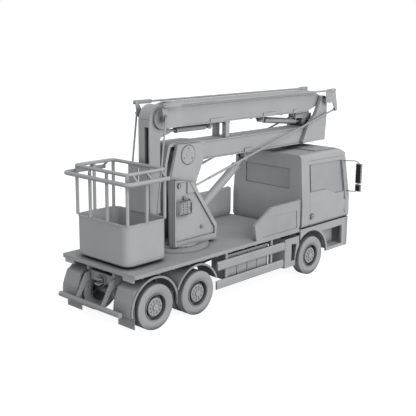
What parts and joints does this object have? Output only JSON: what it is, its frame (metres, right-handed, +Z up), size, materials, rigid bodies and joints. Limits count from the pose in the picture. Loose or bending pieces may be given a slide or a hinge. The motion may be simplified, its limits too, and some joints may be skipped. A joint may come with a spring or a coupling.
{
  "type": "truck-mounted aerial work platform",
  "caption": "Cab-over truck with twin rear wheels carrying a slewing turret, a folded lifting boom, levelling rods, hydraulic cylinders and a railed work basket.",
  "frame": {"origin": "on the ground under the middle of the whole parked truck", "axes": "+X forward to the cab, +Y to the truck's left, +Z up"},
  "size_m": [8.656, 3.08, 4.836],
  "materials": {
    "frame_paint": "satin grey chassis paint",
    "cast_metal": "grey cast housings",
    "tyre_rubber": "plain grey tyre rubber",
    "wheel_paint": "satin grey wheel paint",
    "deck_paint": "satin light grey body paint",
    "cab_paint": "satin light grey cab paint",
    "trim_plastic": "grained grey plastic",
    "seat_fabric": "woven grey seat cloth",
    "pane_glass": "deep grey tinted glass",
    "lamp_plastic": "plain grey lamp lenses",
    "boom_paint": "satin light grey boom paint",
    "control_plastic": "grey control housing",
    "rod_chrome": "polished rods",
    "linkage_steel": "grey linkage steel",
    "basket_moulding": "light grey moulded basket shell",
    "basket_metal": "light grey rail paint"
  },
  "bodies": {
    "chassis": {"chassis_frame": "frame_paint", "engine_block": "cast_metal", "drive_shafts": "cast_metal", "front_axle": "frame_paint", "leaf_springs": "frame_paint", "rear_axles": "frame_paint", "deck": "deck_paint", "side_boards": "deck_paint", "slew_ring": "cast_metal", "cab_shell": "cab_paint", "cab_panes": "pane_glass", "cab_wings": "cab_paint", "bumper": "trim_plastic", "grille": "trim_plastic", "lamps": "lamp_plastic", "mirrors": "trim_plastic", "dashboard": "trim_plastic", "seats": "seat_fabric", "mudguards": "trim_plastic", "underrun_bar": "frame_paint", "tow_coupling": "frame_paint", "side_guards": "frame_paint", "side_boxes": "deck_paint"},
    "turret": {"turret_frame": "boom_paint", "control_box": "control_plastic"},
    "lower_boom_body": {"lower_boom": "boom_paint"},
    "tie_rod_pair": {"tie_rods": "linkage_steel"},
    "upper_boom_body": {"upper_boom": "boom_paint", "levelling_rods": "linkage_steel"},
    "third_boom_body": {"third_boom": "boom_paint"},
    "drop_rod_pair": {"drop_rods": "linkage_steel"},
    "basket": {"basket_tub": "basket_moulding", "basket_rails": "basket_metal"},
    "lift_barrel_body": {"lift_barrel": "boom_paint"},
    "lift_rod_body": {"lift_rod": "rod_chrome"},
    "fold_barrel_body": {"fold_barrel": "boom_paint"},
    "fold_rod_body": {"fold_rod": "rod_chrome"},
    "jib_barrel_body": {"jib_barrel": "boom_paint"},
    "jib_rod_body": {"jib_rod": "rod_chrome"},
    "door_left_body": {"door_left": "cab_paint", "door_pane_left": "pane_glass"},
    "door_right_body": {"door_right": "cab_paint", "door_pane_right": "pane_glass"},
    "steer_left": {"knuckle_left": "frame_paint"},
    "steer_right": {"knuckle_right": "frame_paint"},
    "wheel_front_left": {"tyre_front_left": "tyre_rubber", "rim_front_left": "wheel_paint"},
    "wheel_front_right": {"tyre_front_right": "tyre_rubber", "rim_front_right": "wheel_paint"},
    "wheel_middle_left": {"tyre_middle_left": "tyre_rubber", "rim_middle_left": "wheel_paint"},
    "wheel_middle_right": {"tyre_middle_right": "tyre_rubber", "rim_middle_right": "wheel_paint"},
    "wheel_rear_left": {"tyre_rear_left": "tyre_rubber", "rim_rear_left": "wheel_paint"},
    "wheel_rear_right": {"tyre_rear_right": "tyre_rubber", "rim_rear_right": "wheel_paint"}
  },
  "joints": [
    {"name": "turret_slew", "type": "hinge", "parent": "chassis", "child": "turret", "pos_m": [-1.64, 0, 1.4379], "axis": [0, 0, 1], "range_deg": [-110, 110]},
    {"name": "lower_boom_lift", "type": "hinge", "parent": "turret", "child": "lower_boom_body", "pos_m": [-1.57, 0, 3.585], "axis": [0, -1, 0], "range_deg": [0, 75]},
    {"name": "tie_rod_swing", "type": "hinge", "parent": "turret", "child": "tie_rod_pair", "pos_m": [-1.6, 0, 2.78], "axis": [0, -1, 0], "range_deg": [0, 70]},
    {"name": "upper_boom_fold", "type": "hinge", "parent": "lower_boom_body", "child": "upper_boom_body", "pos_m": [3.84, 0, 4.52], "axis": [0, 1, 0], "range_deg": [0, 80]},
    {"name": "third_boom_swing", "type": "hinge", "parent": "upper_boom_body", "child": "third_boom_body", "pos_m": [-2.27, 0, 4.45], "axis": [0, 1, 0], "range_deg": [0, 110]},
    {"name": "basket_level", "type": "hinge", "parent": "third_boom_body", "child": "basket", "pos_m": [-2.555, 0, 2.21], "axis": [0, 1, 0], "range_deg": [-115, 0]},
    {"name": "drop_rod_swing", "type": "hinge", "parent": "upper_boom_body", "child": "drop_rod_pair", "pos_m": [-2.375, 0, 4.543], "axis": [0, 1, 0], "range_deg": [0, 115]},
    {"name": "lift_barrel_pivot", "type": "hinge", "parent": "turret", "child": "lift_barrel_body", "pos_m": [-1.1, 0, 1.886], "axis": [0, -1, 0], "range_deg": [0, 50]},
    {"name": "lift_rod_slide", "type": "slide", "parent": "lift_barrel_body", "child": "lift_rod_body", "axis": [0.8267, 0, 0.5626], "range_m": [0, 1.64]},
    {"name": "fold_barrel_pivot", "type": "hinge", "parent": "upper_boom_body", "child": "fold_barrel_body", "pos_m": [1.505, 0, 4.128], "axis": [0, -1, 0], "range_deg": [0, 5]},
    {"name": "fold_rod_slide", "type": "slide", "parent": "fold_barrel_body", "child": "fold_rod_body", "axis": [0.9945, 0, -0.1047], "range_m": [0, 0.85]},
    {"name": "jib_barrel_pivot", "type": "hinge", "parent": "upper_boom_body", "child": "jib_barrel_body", "pos_m": [-0.489, 0, 4.125], "axis": [0, 1, 0], "range_deg": [0, 2]},
    {"name": "jib_rod_slide", "type": "slide", "parent": "jib_barrel_body", "child": "jib_rod_body", "axis": [-1, 0, 0.0072], "range_m": [0, 0.84]},
    {"name": "door_left_hinge", "type": "hinge", "parent": "chassis", "child": "door_left_body", "pos_m": [3.87, 1.21, 2.2], "axis": [0, 0, -1], "range_deg": [0, 70]},
    {"name": "door_right_hinge", "type": "hinge", "parent": "chassis", "child": "door_right_body", "pos_m": [3.87, -1.21, 2.2], "axis": [0, 0, 1], "range_deg": [0, 70]},
    {"name": "steer_left_kingpin", "type": "hinge", "parent": "chassis", "child": "steer_left", "pos_m": [2.31, 0.8, 0.52], "axis": [0, 0, 1], "range_deg": [-35, 35]},
    {"name": "steer_right_kingpin", "type": "hinge", "parent": "chassis", "child": "steer_right", "pos_m": [2.31, -0.8, 0.52], "axis": [0, 0, 1], "range_deg": [-35, 35]},
    {"name": "spin_front_left", "type": "hinge", "parent": "steer_left", "child": "wheel_front_left", "pos_m": [2.31, 1.08, 0.52], "axis": [0, 1, 0], "continuous": true},
    {"name": "spin_front_right", "type": "hinge", "parent": "steer_right", "child": "wheel_front_right", "pos_m": [2.31, -1.08, 0.52], "axis": [0, 1, 0], "continuous": true},
    {"name": "spin_middle_left", "type": "hinge", "parent": "chassis", "child": "wheel_middle_left", "pos_m": [-2.055, 1.08, 0.52], "axis": [0, 1, 0], "continuous": true},
    {"name": "spin_middle_right", "type": "hinge", "parent": "chassis", "child": "wheel_middle_right", "pos_m": [-2.055, -1.08, 0.52], "axis": [0, 1, 0], "continuous": true},
    {"name": "spin_rear_left", "type": "hinge", "parent": "chassis", "child": "wheel_rear_left", "pos_m": [-3.385, 1.08, 0.52], "axis": [0, 1, 0], "continuous": true},
    {"name": "spin_rear_right", "type": "hinge", "parent": "chassis", "child": "wheel_rear_right", "pos_m": [-3.385, -1.08, 0.52], "axis": [0, 1, 0], "continuous": true}
  ],
  "couplings": [
    {"joint": "upper_boom_fold", "follows": "lower_boom_lift", "ratio": 1},
    {"joint": "tie_rod_swing", "follows": "lower_boom_lift", "ratio": 0.891},
    {"joint": "lift_barrel_pivot", "follows": "lower_boom_lift", "ratio": 0.644},
    {"joint": "lift_rod_slide", "follows": "lower_boom_lift", "m_per_rad": 1.234},
    {"joint": "fold_barrel_pivot", "follows": "lower_boom_lift", "ratio": 0.05},
    {"joint": "fold_rod_slide", "follows": "lower_boom_lift", "m_per_rad": 0.64},
    {"joint": "basket_level", "follows": "third_boom_swing", "ratio": -1},
    {"joint": "drop_rod_swing", "follows": "third_boom_swing", "ratio": 1},
    {"joint": "jib_barrel_pivot", "follows": "third_boom_swing", "ratio": 0.0107},
    {"joint": "jib_rod_slide", "follows": "third_boom_swing", "m_per_rad": 0.4307},
    {"joint": "steer_right_kingpin", "follows": "steer_left_kingpin", "ratio": 1}
  ]
}
